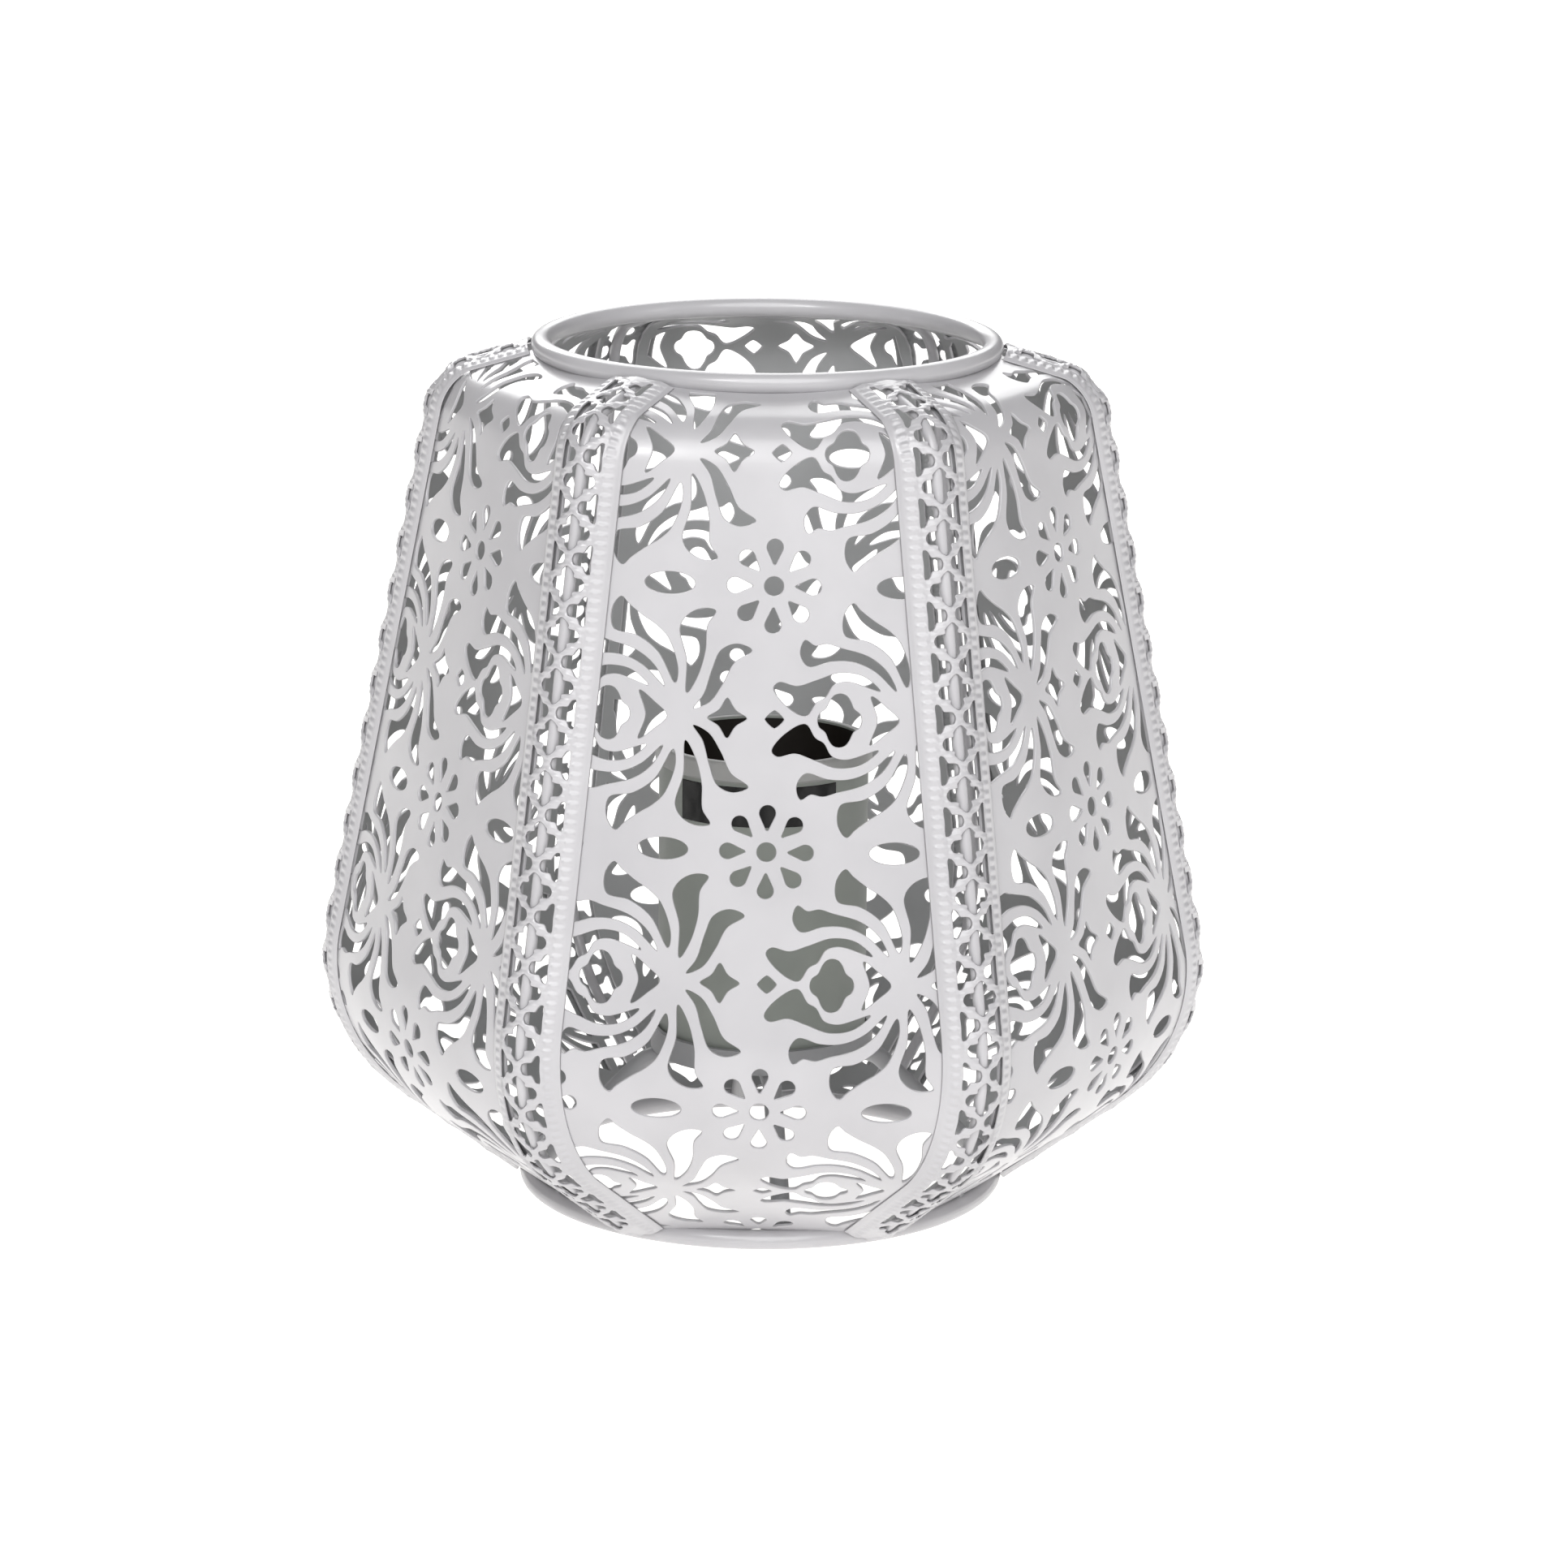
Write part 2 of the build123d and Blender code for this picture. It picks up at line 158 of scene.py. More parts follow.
# ---- outlines -------------------------------------------------------------------
def smooth_loop(corners, spacing=0.55):
    """Closed curve through the corners, sampled about evenly."""
    pts = np.array(corners, float)
    n = len(pts)
    out = []
    for i in range(n):
        p0, p1, p2, p3 = pts[i - 1], pts[i], pts[(i + 1) % n], pts[(i + 2) % n]
        t01 = np.linalg.norm(p1 - p0) ** 0.5
        t12 = np.linalg.norm(p2 - p1) ** 0.5
        t23 = np.linalg.norm(p3 - p2) ** 0.5
        m1 = (p2 - p1) + t12 * ((p1 - p0) / t01 - (p2 - p0) / (t01 + t12))
        m2 = (p2 - p1) + t12 * ((p3 - p2) / t23 - (p3 - p1) / (t12 + t23))
        steps = max(2, round(np.linalg.norm(p2 - p1) / spacing))
        for k in range(steps):
            t = k / steps
            out.append((2 * p1 - 2 * p2 + m1 + m2) * t ** 3 + (-3 * p1 + 3 * p2 - 2 * m1 - m2) * t ** 2
                       + m1 * t + p1)
    return np.array(out)


def ellipse(x, y, across, up, steps=28):
    a = np.arange(steps) * (2 * math.pi / steps)
    return np.stack([x + across * np.cos(a), y + up * np.sin(a)], 1)


def petal(angle):
    """Teardrop pointing at the flower's middle."""
    tip, end, radius = 4.3, 9.5, 1.65
    centre = end - radius
    tilt = math.acos(radius / (centre - tip - 0.2))
    turns = tilt + (2 * math.pi - 2 * tilt) * np.arange(15) / 14
    x = np.concatenate([[tip + 0.12, tip, tip + 0.12], centre - radius * np.cos(turns)])
    y = np.concatenate([[-0.2, 0.0, 0.2], radius * np.sin(turns)])
    c, s = math.cos(angle), math.sin(angle)
    return np.stack([x * c - y * s, x * s + y * c], 1)


def clover(x):
    """Four lobes round one middle, the upright pair longer."""
    corners = []
    for quarter in range(4):
        heading = quarter * math.pi / 2
        shift, radius = (3.3, 2.15) if quarter % 2 else (1.95, 2.5)
        for step in (-1.5, -0.75, 0, 0.75, 1.5):
            a = heading + step * math.radians(46)
            corners.append((x + shift * math.cos(heading) + radius * math.cos(a),
                            shift * math.sin(heading) + radius * math.sin(a)))
    return smooth_loop(corners)


def diamond(x, half_width, half_height, hollow=0.41):
    """Four rounded points joined by hollow sides."""
    tips = [(half_width, 0), (0, half_height), (-half_width, 0), (0, -half_height)]
    corners = []
    for (ax, ay), (bx, by) in zip(tips, tips[1:] + tips[:1]):
        corners.append((x + 0.97 * ax - 0.03 * bx, 0.97 * ay - 0.03 * by))
        corners.append((x + 0.97 * ax + 0.05 * bx, 0.97 * ay + 0.05 * by))
        corners.append((x + hollow * (ax + bx), hollow * (ay + by)))
    return smooth_loop(corners)


def flower_row():
    petals = [petal(n * math.pi / 4) for n in range(8)]
    return [ellipse(0, 0, 1.95, 1.95, 24), ellipse(25.9, 0, 5.1, 2.25, 36), *petals]


def hub_row():
    holes = [diamond(0.85, 1.95, 1.85, 0.56), clover(14.0), smooth_loop(CRESCENT), diamond(38.2, 4.0, 4.1)]
    for corners in LEAVES.values():
        leaf = smooth_loop(corners)
        holes.append(leaf)
        holes.append(leaf * [1, -1])
    return holes


# ---- flat outlines to solid sheets ------------------------------------------------
def signed_area(loop):
    x, y = loop[:, 0], loop[:, 1]
    return 0.5 * np.sum(x * np.roll(y, -1) - np.roll(x, -1) * y)


def clipped(loop, normal, limit):
    """The part of a closed outline where point . normal is at most limit."""
    normal = np.array(normal, float)
    out = []
    heights = loop @ normal - limit
    for i in range(len(loop)):
        a, b = loop[i - 1], loop[i]
        ha, hb = heights[i - 1], heights[i]
        if (ha <= 0) != (hb <= 0):
            out.append(a + (b - a) * (ha / (ha - hb)))
        if hb <= 0:
            out.append(b)
    return np.array(out)


def evenly(loop, shortest=0.12):
    """The same outline without points that nearly coincide."""
    out = [loop[0]]
    for p in loop[1:]:
        if np.linalg.norm(p - out[-1]) > shortest:
            out.append(p)
    if np.linalg.norm(out[0] - out[-1]) < shortest:
        out.pop()
    return np.array(out)


def side_directions(loop):
    """Unit vectors square to an anticlockwise outline, pointing out of it."""
    step = np.roll(loop, -1, 0) - np.roll(loop, 1, 0)
    side = np.stack([step[:, 1], -step[:, 0]], 1)
    return side / np.maximum(np.linalg.norm(side, axis=1, keepdims=True), 1e-9)


def sheet_mesh(outline, holes, inner_points, place, thickness, edge):
    """Perforated sheet with rounded edges; place maps (across, up, height over the outer face)."""
    loops = []
    for n, loop in enumerate([outline, *holes]):
        loop = evenly(loop)
        if signed_area(loop) < 0:
            loop = loop[::-1]
        sides = side_directions(loop) * (1 if n == 0 else -1)
        loops.append((loop, sides))
    rims = np.concatenate([loop - sides * edge for loop, sides in loops])
    flat = np.concatenate([rims, inner_points])
    faces, start = [], 0
    for loop, _ in loops:
        faces.append(list(range(start, start + len(loop))))
        start += len(loop)
    verts, _, triangles, origins, _, owners = delaunay_2d_cdt(
        [Vector(p) for p in flat], [], faces, 1, 1e-7)
    kept = [t for t, owner in zip(triangles, owners) if list(owner) == [0]]
    new_index = {}
    for n, group in enumerate(origins):
        for old in group:
            new_index[old] = n
    cap = np.array([(v.x, v.y) for v in verts])
    count = len(cap)

    points = [np.column_stack([cap, np.zeros(count)]), np.column_stack([cap, np.full(count, -thickness)])]
    normals = [np.tile([0.0, 0.0, 1.0], (count, 1)), np.tile([0.0, 0.0, -1.0], (count, 1))]
    polygons = [tuple(t) for t in kept] + [(t[2] + count, t[1] + count, t[0] + count) for t in kept]
    inner_side = [0] * len(kept) + [1] * len(kept)
    base, first = 2 * count, 0
    for n, (loop, sides) in enumerate(loops):
        size = len(loop)
        for height in (-edge, edge - thickness):
            points.append(np.column_stack([loop, np.full(size, height)]))
            normals.append(np.column_stack([sides, np.zeros(size)]))
        rim = [new_index[first + k] for k in range(size)]
        levels = [rim, [base + k for k in range(size)], [base + size + k for k in range(size)],
                  [r + count for r in rim]]
        for upper, lower in zip(levels, levels[1:]):
            for k in range(size):
                m = (k + 1) % size
                quad = (upper[m], upper[k], lower[k], lower[m])
                polygons.append(quad if n == 0 else quad[::-1])
                inner_side.append(0)
        base += 2 * size
        first += size
    points = np.concatenate(points)
    normals = np.concatenate(normals)

    used = np.zeros(len(points), bool)
    for polygon in polygons:
        used[list(polygon)] = True
    renumber = np.cumsum(used) - 1
    polygons = [tuple(int(renumber[v]) for v in polygon) for polygon in polygons]
    points, normals = points[used], normals[used]

    step = 0.02
    along_x = (place(points + [step, 0, 0]) - place(points - [step, 0, 0])) / (2 * step)
    along_y = (place(points + [0, step, 0]) - place(points - [0, step, 0])) / (2 * step)
    out = np.cross(along_x, along_y)
    real = normals[:, :1] * along_x + normals[:, 1:2] * along_y + normals[:, 2:] * out
    real /= np.linalg.norm(real, axis=1, keepdims=True)
    return place(points) * MM, real, polygons, inner_side


def mesh_object(name, points, polygons, normals=None, turn=0.0, slots=(), faces_slot=None):
    """Mesh object turned about the lantern axis, with its own shading normals."""
    c, s = math.cos(turn), math.sin(turn)
    matrix = np.array([[c, -s, 0], [s, c, 0], [0, 0, 1]])
    mesh = bpy.data.meshes.new(name)
    mesh.from_pydata((points @ matrix.T).tolist(), [], polygons)
    for polygon in mesh.polygons:
        polygon.use_smooth = True
    for material in slots:
        mesh.materials.append(material)
    if faces_slot is not None:
        mesh.polygons.foreach_set("material_index", faces_slot)
    if normals is not None:
        mesh.normals_split_custom_set_from_vertices((normals @ matrix.T).tolist())
    obj = bpy.data.objects.new(name, mesh)
    bpy.context.scene.collection.objects.link(obj)
    return obj


# ---- panels ----------------------------------------------------------------------
SPAN = 15.0                    # how far past its ends a profile is tabled
TABLE_STEP = 0.1


def profile_table(profile):
    lengths = np.arange(-SPAN, profile.length + SPAN, TABLE_STEP)
    rows = [profile.at(length) for length in lengths]
    return lengths, np.array([p for p, _, _ in rows]), np.array([n for _, _, n in rows])


MIDDLE_TABLE = profile_table(MIDDLE)
JOINT_TABLE = profile_table(JOINT)


def looked_up(table, lengths):
    """Radius, height and outward normal at each length."""
    at, points, normals = table
    return [np.interp(lengths, at, column) for column in (*points.T, *normals.T)]


def place_panel(points):
    """Flat (across, up, height) to the bowed panel that faces +X; up is from the middle flower row."""
    radius, z, out, rise = looked_up(MIDDLE_TABLE, points[:, 1] + ROW_ZERO)
    angle = points[:, 0] / (radius + BOW)
    reach = radius + BOW + points[:, 2] * out
    return np.column_stack([reach * np.cos(angle) - BOW, reach * np.sin(angle), z + points[:, 2] * rise])


END_STEP = 0.1
END_STEPS = 400
GROUND_CLEARANCE = 0.7         # a sheet's end stays this far over the ground
SLANT_STRETCH = 1.06           # sheet length over its width seen square to a joint
HOLE_REACH = 12.0              # holes centred this far past an end still cut into the sheet
COLUMN_REACH = 60.0
SMALLEST_HOLE = 1.2            # square millimetres
GRID_ACROSS = 3.0
GRID_UP = 2.2
GRID_REACH = 48.0
GRID_CLEARANCE = 0.35


def ring_distance(place, across, up, ring_radius, ring_height):
    x, y, z = place(np.array([[across, up, 0.0]]))[0]
    return math.hypot(math.hypot(x, y) - ring_radius, z - ring_height), z


def ring_end(place, across, start, direction, ring_radius, ring_height, reach):
    """Where a line up or down the sheet meets a ring's wire, or the ground's clearance."""
    up = start
    for _ in range(END_STEPS):
        distance, z = ring_distance(place, across, up, ring_radius, ring_height)
        if distance < reach or z < GROUND_CLEARANCE:
            break
        up += direction * END_STEP
    return up


def on_sheet(points):
    """Places on the flat sheet of points of the pattern."""
    c, s = math.cos(math.radians(PATTERN_TURN)), math.sin(math.radians(PATTERN_TURN))
    x, y = points.T
    return np.column_stack([x * c + y * s + PATTERN_SHIFT, y * c - x * s])


def panel_half_width(up):
    return half_width(up + ROW_ZERO) - PANEL_SIDE * SLANT_STRETCH


def panel_ends(steps=18):
    """Lower and upper edge of the flat panel, from left to right."""
    lower, upper = [], []
    low_start, high_start = 8.0 - ROW_ZERO, MIDDLE.length - ROW_ZERO - 8.0
    for k in range(steps + 1):
        share = -1 + 2 * k / steps
        low = high = 0.0
        for edge, start, direction, ring_radius, ring_height in (
                (lower, low_start, -1, BASE_RING_RADIUS, BASE_RING_HEIGHT),
                (upper, high_start, 1, TOP_RING_RADIUS, TOP_RING_HEIGHT)):
            up = start
            for _ in range(3):
                across = share * panel_half_width(up)
                up = ring_end(place_panel, across, start, direction, ring_radius, ring_height,
                              RING_WIRE - 0.3)
            edge.append((share * panel_half_width(up), up))
    return lower, upper


def panel_shape():
    """Outline and holes of the flat panel."""
    lower, upper = panel_ends()
    right = np.linspace(lower[-1][1], upper[-1][1], 60)[1:-1]
    left = right[::-1]
    outline = [*lower, *[(panel_half_width(up), up) for up in right], *upper[::-1],
               *[(-panel_half_width(up), up) for up in left]]
    outline = np.array(outline)
    low_x, low_y = np.array(lower).T
    high_x, high_y = np.array(upper).T
    holes = []
    for row in range(-2, 3):
        for up, outlines in ((row * PITCH_UP, flower_row()), ((row + 0.5) * PITCH_UP, hub_row())):
            for column in range(-2, 3):
                for loop in outlines:
                    hole = on_sheet(loop + [column * PITCH_ACROSS, up])
                    x, y = hole.mean(0)
                    beyond = not low_y.min() - HOLE_REACH < y < high_y.max() + HOLE_REACH
                    if beyond or abs(x) > COLUMN_REACH:
                        continue
                    wide = panel_half_width(np.clip(y, low_y.min(), high_y.max()))
                    slope = (panel_half_width(y + 2) - panel_half_width(y - 2)) / 4
                    for side in (1, -1):
                        if len(hole):
                            hole = clipped(hole, (side, -slope), wide - PANEL_MARGIN - slope * y)
                    for xs, ys, side in ((low_x, low_y, -1), (high_x, high_y, 1)):
                        if len(hole):
                            tilt = (np.interp(x + 1, xs, ys) - np.interp(x - 1, xs, ys)) / 2
                            limit = np.interp(x, xs, ys) - tilt * x
                            hole = clipped(hole, (-side * tilt, side), side * limit - RING_MARGIN)
                    if len(hole) > 5 and abs(signed_area(hole)) > SMALLEST_HOLE:
                        holes.append(hole)
    return outline, holes


def grid_points(outline, holes, xs, ys, clearance):
    """Grid points in the material, clear of every outline."""
    gx, gy = np.meshgrid(xs, ys)
    pts = np.column_stack([gx.ravel(), gy.ravel()])
    keep = np.ones(len(pts), bool)
    for n, loop in enumerate([outline, *holes]):
        lo, hi = loop.min(0) - clearance, loop.max(0) + clearance
        near = np.where(((pts > lo) & (pts < hi)).all(1) & keep)[0]
        if n == 0:
            near = np.arange(len(pts))
        p = pts[near]
        a, b = loop, np.roll(loop, -1, 0)
        inside = np.zeros(len(p), bool)
        closest = np.full(len(p), 1e9)
        for q, r in zip(a, b):
            crosses = (q[1] > p[:, 1]) != (r[1] > p[:, 1])
            if r[1] != q[1]:
                inside ^= crosses & (p[:, 0] < q[0] + (p[:, 1] - q[1]) * (r[0] - q[0]) / (r[1] - q[1]))
            run = r - q
            t = np.clip(((p - q) @ run) / max(run @ run, 1e-12), 0, 1)
            closest = np.minimum(closest, np.linalg.norm(p - q - t[:, None] * run, axis=1))
        good = (inside if n == 0 else ~inside) & (closest > clearance)
        keep[near[~good]] = False
    return pts[keep]


def make_panels(outer, inner):
    outline, holes = panel_shape()
    inside = grid_points(outline, holes, np.arange(-GRID_REACH, GRID_REACH + 0.1, GRID_ACROSS),
                         np.arange(-ROW_ZERO, MIDDLE.length - ROW_ZERO, GRID_UP),
                         PAINT_EDGE + GRID_CLEARANCE)
    points, normals, polygons, inner_side = sheet_mesh(
        outline, holes, inside, place_panel, SHEET, PAINT_EDGE)
    for n in range(SIDES):
        turn = math.radians(-90 + 360 * n / SIDES)
        name = f"painted_panel_{n + 1}"
        # The inner faces take the darker grey, which is painted shade.
        panel = mesh_object(name, points, polygons, normals, turn, (outer, inner), inner_side)
        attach(panel, "lantern")
        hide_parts(f"panel_{n + 1}")


# ---- lace strips -------------------------------------------------------------------
LACE_HALF = 4.55               # half width of the openwork
BEAD_LINE = 6.0
BEAD_PITCH = 1.95
RIM_LINE = 7.35
STRAND_HEIGHT = 0.3
RAIL_HEIGHT = 0.2
BEAD_HEIGHT = 0.34
RIM_HEIGHT = 0.1
WEB_DEPTH = 0.1                # how much lower the openwork lies than the rails
WIRE_GAP = 0.1                 # between a rib wire and its strip
EDGE_GAP = 0.04                # between the strip's edges and the panels
ARCH = 1.5                     # how late the strip curves down to its edges
EDGE_THINNING = 0.75
STRIP_SINK = 0.05              # the whole strip is then set this much lower
STRIP_EDGE = 0.18              # rounding of the strip's edges
STRIP_GRID_CLEARANCE = 0.3
STRIP_END_REACH = 2.9          # from a ring's middle
SLOT_ROOM = 3.5                # from a hole's middle to the strip's end
FOIL_ROOM = 4.2


def strip_drop(up):
    """How far the strip's edges come down towards the panels, at each length up a joint."""
    radius, _, out, _ = looked_up(JOINT_TABLE, up)
    bow_radius = np.sqrt((radius + BOW * math.cos(math.pi / SIDES)) ** 2
                         + (BOW * math.sin(math.pi / SIDES)) ** 2)
    slant = math.pi / SIDES - np.arcsin(radius * math.sin(math.pi / SIDES) / bow_radius)
    return STRIP_HALF * np.sin(slant) * out


def mirrored_up(corners, middle):
    """The corners, and again the other way up past the middle height."""
    return corners + [(x, 2 * middle - y) for x, y in corners[-2::-1]]


STRAND = np.array(mirrored_up([(0, 0), (0.8, 1.5), (1.9, 2.1), (2.9, 2.9), (3.9, 3.5), (4.25, 5.2)],
                              LACE_PITCH / 2))


def from_strand(across, up):
    """Distance to the nearest strand of the lace."""
    side = np.abs(across)
    along = up % LACE_PITCH
    nearest = np.full(len(side), 9.0)
    for a, b in zip(STRAND, STRAND[1:]):
        run = b - a
        share = np.clip(((side - a[0]) * run[0] + (along - a[1]) * run[1]) / (run @ run), 0, 1)
        nearest = np.minimum(nearest, np.hypot(side - a[0] - share * run[0], along - a[1] - share * run[1]))
    return nearest


def embossing(across, up):
    """Height of the lace's relief: round strands, rails, beads and a flat rim."""
    side = np.abs(across)
    knots = 0.8 + 0.2 * np.cos(2 * math.pi * 8 * up / LACE_PITCH)
    strands = STRAND_HEIGHT * knots * np.exp(-(from_strand(across, up) / 0.75) ** 4)
    web = WEB_DEPTH * (side < LACE_HALF)
    rails = RAIL_HEIGHT * np.exp(-((side - LACE_HALF - 0.2) / 0.26) ** 2)
    wave = 0.5 + 0.5 * np.cos(2 * math.pi * up / BEAD_PITCH)
    beads = BEAD_HEIGHT * np.exp(-((side - BEAD_LINE) / 0.85) ** 4) * wave
    rim = RIM_HEIGHT * np.exp(-((side - RIM_LINE) / 0.25) ** 2)
    return (strands - web + rails + beads + rim) * np.clip((STRIP_HALF - side) / 0.8, 0, 1)


def place_strip(points):
    """Flat (across, up, height) to the strip over the joint at +X; up is along the joint."""
    across, up, height = points.T
    radius, z, out, rise = looked_up(JOINT_TABLE, up)
    side = np.abs(across)
    stand = RIB_WIRE - SHEET / 2 + WIRE_GAP
    lower = stand - (stand + strip_drop(up) - EDGE_GAP) * (side / STRIP_HALF) ** ARCH
    thinning = 1 - EDGE_THINNING * np.clip((side - BEAD_LINE - 1) / (STRIP_HALF - BEAD_LINE - 1), 0, 1)
    lift = lower + (STRIP_SHEET + height) * thinning + embossing(across, up) - STRIP_SINK
    return np.column_stack([radius + lift * out, across, z + lift * rise])


def lace_holes(low, high):
    """Four-lobed holes on the middle line, and between them a hole against each rail."""
    quarter = [(0, 3.6), (0.9, 3.1), (1.55, 2.3), (1.5, 1.55), (2.3, 1.3), (3.2, 1.15), (3.85, 0)]
    right = mirrored_up(quarter, 0)
    foil = smooth_loop(right + [(-x, y) for x, y in right[-2:0:-1]], 0.35)
    lobe = [(LACE_HALF, 2.9), (4.1, 2.9), (3.5, 2.15), (3.0, 1.4), (2.2, 1.3), (1.35, 1.0), (0.95, 0)]
    slot = smooth_loop(mirrored_up(lobe, 0) + [(LACE_HALF + 0.06, 0)], 0.35)
    holes = []
    for n in range(int(low / LACE_PITCH), int(high / LACE_PITCH) + 2):
        up = n * LACE_PITCH
        if low + SLOT_ROOM < up < high - SLOT_ROOM:
            holes.append(slot + [0, up])
            holes.append(slot * [-1, 1] + [0, up])
        up += LACE_PITCH / 2
        if low + FOIL_ROOM < up < high - FOIL_ROOM:
            holes.append(foil + [0, up])
    return holes


def make_strips(outer, inner):
    ends = [[], []]
    for x in np.linspace(-STRIP_HALF, STRIP_HALF, 13):
        foot = ring_end(place_strip, x, 9.0, -1, BASE_RING_RADIUS, BASE_RING_HEIGHT, STRIP_END_REACH)
        top = ring_end(place_strip, x, JOINT.length - 9, 1, TOP_RING_RADIUS, TOP_RING_HEIGHT,
                       STRIP_END_REACH)
        ends[0].append((x, foot))
        ends[1].append((x, top))
    low, high = max(y for _, y in ends[0]), min(y for _, y in ends[1])
    sides = np.arange(low, high, 1.2)[1:-1]
    outline = np.array([*ends[0], *[(STRIP_HALF, y) for y in sides], *ends[1][::-1],
                        *[(-STRIP_HALF, y) for y in sides[::-1]]])
    holes = lace_holes(low, high)
    columns = np.concatenate([np.arange(0.1, 4.6, 0.45), np.arange(4.75, 8.0, 0.36)])
    inside = grid_points(outline, holes, np.concatenate([-columns, columns]),
                         np.arange(low, high, BEAD_PITCH / 5), STRIP_GRID_CLEARANCE)
    points, normals, polygons, inner_side = sheet_mesh(
        outline, holes, inside, place_strip, STRIP_SHEET, STRIP_EDGE)
    for n in range(SIDES):
        turn = math.radians(-60 + 360 * n / SIDES)
        # The inner faces take the darker grey, which is painted shade.
        strip = mesh_object(f"embossed_lace_{n + 1}", points, polygons, normals, turn, (outer, inner),
                            inner_side)
        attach(strip, "lantern")
        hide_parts(f"lace_strip_{n + 1}")


# ---- turned pieces -----------------------------------------------------------------
def lathe(name, outline, steps, slots, slot_of):
    """Closed ring of revolution through (radius, height) points, in millimetres."""
    count = len(outline)
    points, polygons, indices = [], [], []
    for k in range(steps):
        a = 2 * math.pi * k / steps
        points += [(r * math.cos(a), r * math.sin(a), z) for r, z in outline]
    for k in range(steps):
        here, there = k * count, (k + 1) % steps * count
        for n in range(count):
            m = (n + 1) % count
            if outline[n][0] < 1e-6 and outline[m][0] < 1e-6:
                continue
            polygons.append((here + n, there + n, there + m, here + m))
            indices.append(slot_of(n))
    obj = mesh_object(name, np.array(points) * MM, polygons, None, 0.0, slots, indices)
    solid = bmesh.new()
    solid.from_mesh(obj.data)
    bmesh.ops.remove_doubles(solid, verts=solid.verts, dist=1e-7)
    solid.to_mesh(obj.data)
    solid.free()
    obj.data.set_sharp_from_angle(angle=math.radians(SHARP_ANGLE))
    return obj


def rounded(corner, before, after, radius, steps=5):
    """Points of an arc that rounds one (radius, height) corner of a lathe outline."""
    corner, before, after = (np.array(p, float) for p in (corner, before, after))
    a = corner + (before - corner) / np.linalg.norm(before - corner) * radius
    b = corner + (after - corner) / np.linalg.norm(after - corner) * radius
    shares = np.linspace(0, 1, steps)
    return [tuple((1 - t) ** 2 * a + 2 * t * (1 - t) * corner + t * t * b) for t in shares]


def rounded_outline(corners):
    """(radius, height, rounding) corners to a smooth lathe outline."""
    out = []
    for n, (r, z, rounding) in enumerate(corners):
        before, after = corners[n - 1][:2], corners[(n + 1) % len(corners)][:2]
        out += rounded((r, z), before, after, rounding) if rounding else [(r, z)]
    return out


# ---- cup -------------------------------------------------------------------------------
CUP_RADIUS = 22.5
CUP_FOOT = 31.0
CUP_TOP = 98.0
CUP_RIM = (23.3, 4.2)          # radius, height
CUP_FLOOR = 1.2
CUP_WALL = 1.0
CUP_STEPS = 128
LABEL_TOP = 92.6
LABEL_BOTTOM = 84.0
LABEL_START = -138             # degrees
LABEL_SWEEP = 92
LABEL_SEAT = (0.02, 0.22)      # its inner and outer face over the cup's wall


def make_cup(outside, rim, inside):
    """Straight cup with a rolled rim band, open at the top."""
    wall = CUP_RADIUS - CUP_WALL
    corners = [(0, CUP_FOOT, 0), (CUP_RADIUS, CUP_FOOT, 0.9), (CUP_RADIUS, 93.6, 0.25),
               (CUP_RIM[0], CUP_TOP - CUP_RIM[1], 0.3), (CUP_RIM[0], CUP_TOP, 0.8),
               (wall, CUP_TOP, 0.6), (wall, CUP_FOOT + CUP_FLOOR, 1.2), (0, CUP_FOOT + CUP_FLOOR, 0)]
    outline = rounded_outline(corners)

    def look(n):
        r, z = outline[n]
        r_next, z_next = outline[(n + 1) % len(outline)]
        if min(z, z_next) > CUP_TOP - CUP_RIM[1] - 0.6 and max(r, r_next) > wall + 0.3:
            return 1
        # The cup's inner wall and floor take the near-black painted shade.
        if max(r, r_next) <= wall + 0.01 and max(z, z_next) > CUP_FOOT + 0.3:
            return 2
        return 0

    cup = lathe("turned_cup", outline, CUP_STEPS, (outside, rim, inside), look)
    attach(cup, "cup")
    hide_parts("candle_cup")


def make_label(glossy):
    """Plain dark band round the front of the cup, just under its rim."""
    start, sweep, count = math.radians(LABEL_START), math.radians(LABEL_SWEEP), 48
    inner, outer = CUP_RADIUS + LABEL_SEAT[0], CUP_RADIUS + LABEL_SEAT[1]
    section = rounded_outline([(inner, LABEL_BOTTOM, 0), (outer, LABEL_BOTTOM, 0.08),
                               (outer, LABEL_TOP, 0.08), (inner, LABEL_TOP, 0)])
    size = len(section)
    points, polygons = [], []
    for k in range(count + 1):
        a = start + sweep * k / count
        points += [(r * math.cos(a), r * math.sin(a), z) for r, z in section]
    for k in range(count):
        for n in range(size):
            m = (n + 1) % size
            polygons.append((k * size + n, (k + 1) * size + n, (k + 1) * size + m, k * size + m))
    polygons.append(tuple(range(size)))
    polygons.append(tuple(range(count * size, (count + 1) * size))[::-1])
    label = mesh_object("cup_band", np.array(points) * MM, polygons, None, 0.0, (glossy,))
    label.data.set_sharp_from_angle(angle=math.radians(SHARP_ANGLE))
    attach(label, "cup")


# ---- materials ---------------------------------------------------------------------------
def noise(nodes, links, coords, scale, detail=2.0):
    tex = nodes.new("ShaderNodeTexNoise")
    tex.inputs["Scale"].default_value = scale
    tex.inputs["Detail"].default_value = detail
    links.new(coords.outputs["Object"], tex.inputs["Vector"])
    return tex.outputs["Fac"]


